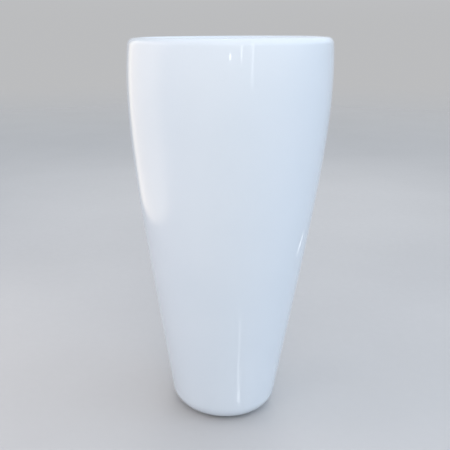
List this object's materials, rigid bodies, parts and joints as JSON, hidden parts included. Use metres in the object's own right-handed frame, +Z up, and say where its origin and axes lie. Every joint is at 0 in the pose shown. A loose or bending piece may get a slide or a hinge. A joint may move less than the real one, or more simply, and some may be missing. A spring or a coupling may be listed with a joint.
{
  "type": "pedestal sink",
  "caption": "Round free-standing pedestal sink in one glazed china piece, tapering to a narrow foot, with click-clack waste, bottle trap and floor drain.",
  "frame": {"origin": "on the floor, at the body's vertical axis", "axes": "+Z up along the body's axis, -Y towards the user, +Y towards the wall and the service opening, +X to the user's right"},
  "size_m": [0.4314, 0.4314, 0.85],
  "materials": {
    "ceramic": "high gloss white glaze",
    "chrome": "polished chrome plate",
    "brass": "machined brass",
    "steel": "bright stainless steel",
    "rubber": "matte black rubber",
    "nylon": "natural nylon",
    "plastic": "grey moulded plastic"
  },
  "bodies": {
    "sink": {"ceramic_body": "ceramic", "overflow_ring": "chrome", "waste_body": "chrome", "coupling_nut": "chrome", "trap_inlet_tube": "chrome", "trap_body": "chrome", "trap_cup": "chrome", "inlet_slip_nut": "chrome", "outlet_slip_nut": "chrome", "drain_pipe": "chrome", "screw_cap_right": "chrome", "screw_cap_left": "chrome", "waste_lock_nut": "brass", "latch_post": "brass", "plug_spring": "steel", "side_screw_right": "steel", "side_screw_left": "steel", "base_gasket": "rubber", "waste_top_seal": "rubber", "waste_under_gasket": "rubber", "coupling_seal": "rubber", "trap_cup_seal": "rubber", "inlet_cone_seal": "rubber", "outlet_cone_seal": "rubber", "socket_seal": "rubber", "waste_friction_washer": "nylon", "floor_bracket_right": "nylon", "floor_bracket_left": "nylon", "screw_bush_right": "nylon", "screw_bush_left": "nylon", "floor_socket": "plastic"},
    "plug": {"plug_cap": "chrome", "plug_seal": "rubber", "plug_plunger": "brass"}
  },
  "joints": [
    {"name": "plug_slide", "type": "slide", "parent": "sink", "child": "plug", "axis": [0, 0, 1], "range_m": [-0.009, 0], "stiffness_N_per_m": 400, "springref_m": 0.01, "deforming": ["plug_spring"]}
  ]
}
